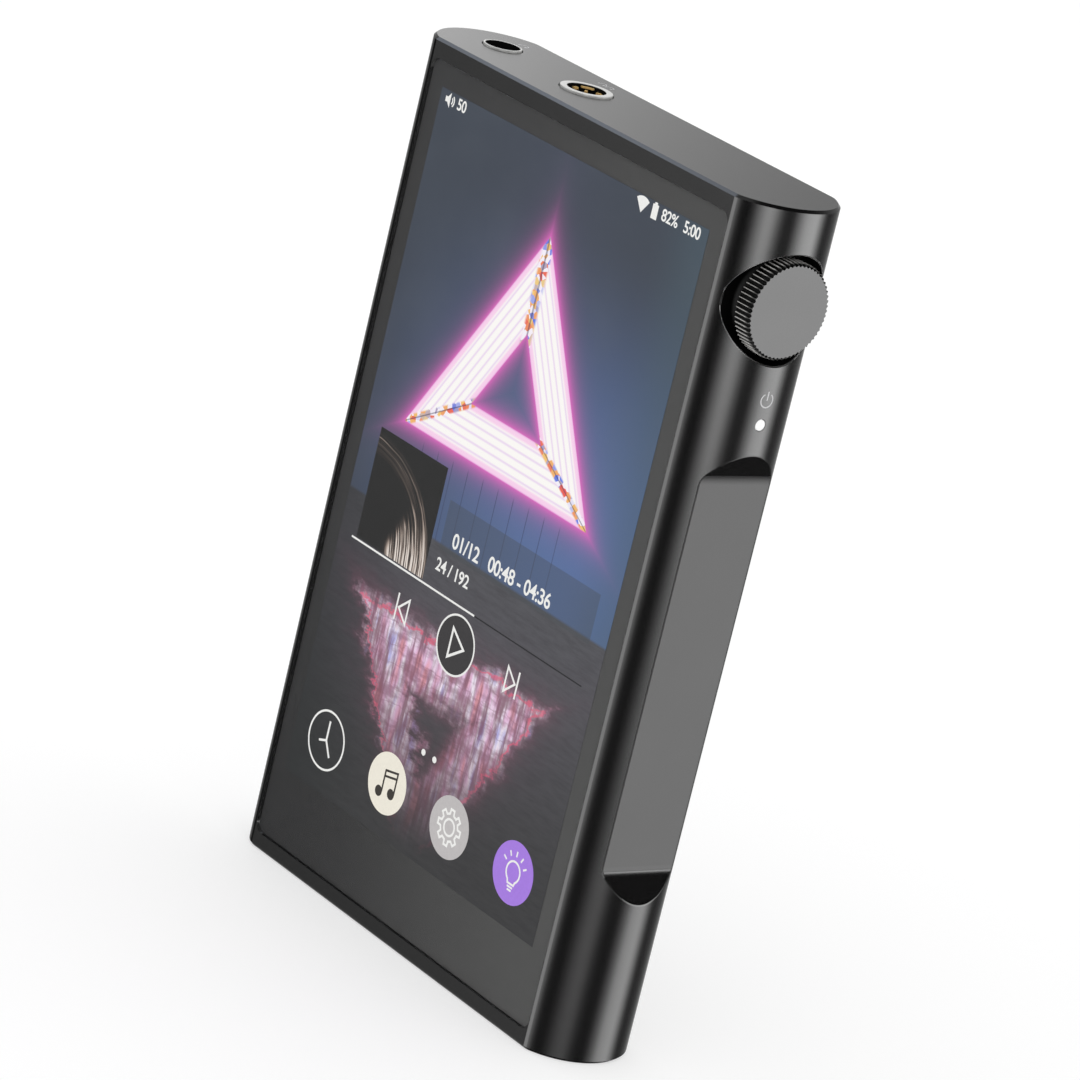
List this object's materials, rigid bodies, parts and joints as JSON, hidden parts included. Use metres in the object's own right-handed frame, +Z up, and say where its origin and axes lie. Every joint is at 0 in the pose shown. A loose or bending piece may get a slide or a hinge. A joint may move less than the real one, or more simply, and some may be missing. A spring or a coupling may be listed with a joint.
{
  "type": "digital audio player",
  "caption": "Upright slab music player with a glass front display, knurled side volume knob in a round pocket, thumb scoop, side playback buttons and top headphone jacks.",
  "frame": {"origin": "middle of the base of the object's bounding box, standing upright on its short base", "axes": "+Z up the long side, -Y the way the display faces, +X the side with the volume knob and thumb scoop"},
  "size_m": [0.0726, 0.0164, 0.1093],
  "materials": {
    "case_metal": "satin dark anodised, fine bead-blasted grain",
    "cover_glass": "polished, clear over a black printed border",
    "display": "lit colour display",
    "rear_cover": "fine matte",
    "knob_metal": "satin turned face, knurled rim",
    "ring_metal": "polished ring",
    "steel": "plain",
    "contact_gold": "gold-plated",
    "black_plastic": "moulded",
    "board": "solder-masked board",
    "battery_wrap": "foil pouch wrap",
    "flex_film": "flexible circuit film",
    "lens_white": "milky light pipe"
  },
  "bodies": {
    "chassis": {"chassis": "case_metal", "front_glass": "cover_glass", "display_panel": "display", "backlight_tray": "steel", "display_flex": "flex_film", "rear_cover": "rear_cover", "encoder_body": "black_plastic", "next_switch": "black_plastic", "play_switch": "black_plastic", "previous_switch": "black_plastic", "button_board": "board", "headphone_jack": "black_plastic", "headphone_jack_ring": "ring_metal", "balanced_jack": "black_plastic", "balanced_jack_ring": "ring_metal", "balanced_jack_contact": "contact_gold", "base_socket": "steel", "base_socket_board": "board", "card_socket": "steel", "base_screw_left": "steel", "base_screw_right": "steel", "battery": "battery_wrap", "main_board": "board", "output_shield": "steel", "processor_shield": "steel", "wireless_shield": "steel", "dac_chip_left": "black_plastic", "dac_chip_right": "black_plastic", "audio_capacitor_1": "black_plastic", "audio_capacitor_2": "black_plastic", "audio_capacitor_3": "black_plastic", "audio_capacitor_4": "black_plastic", "status_light": "lens_white", "light_pipe": "lens_white"},
    "knob_press_collar": {"press_collar": "steel"},
    "knob": {"volume_knob": "knob_metal", "encoder_shaft": "steel"},
    "next_button": {"next_button": "case_metal"},
    "play_button": {"play_button": "case_metal"},
    "previous_button": {"previous_button": "case_metal"}
  },
  "joints": [
    {"name": "knob_press", "type": "slide", "parent": "chassis", "child": "knob_press_collar", "axis": [-1, 0, 0], "range_m": [0, 0.0004], "stiffness_N_per_m": 900},
    {"name": "knob_spin", "type": "hinge", "parent": "knob_press_collar", "child": "knob", "pos_m": [0.0363, -0.0008, 0.0967], "axis": [1, 0, 0], "continuous": true},
    {"name": "next_press", "type": "slide", "parent": "chassis", "child": "next_button", "axis": [1, 0, 0], "range_m": [0, 0.0003], "stiffness_N_per_m": 600},
    {"name": "play_press", "type": "slide", "parent": "chassis", "child": "play_button", "axis": [1, 0, 0], "range_m": [0, 0.0003], "stiffness_N_per_m": 600},
    {"name": "previous_press", "type": "slide", "parent": "chassis", "child": "previous_button", "axis": [1, 0, 0], "range_m": [0, 0.0003], "stiffness_N_per_m": 600}
  ]
}
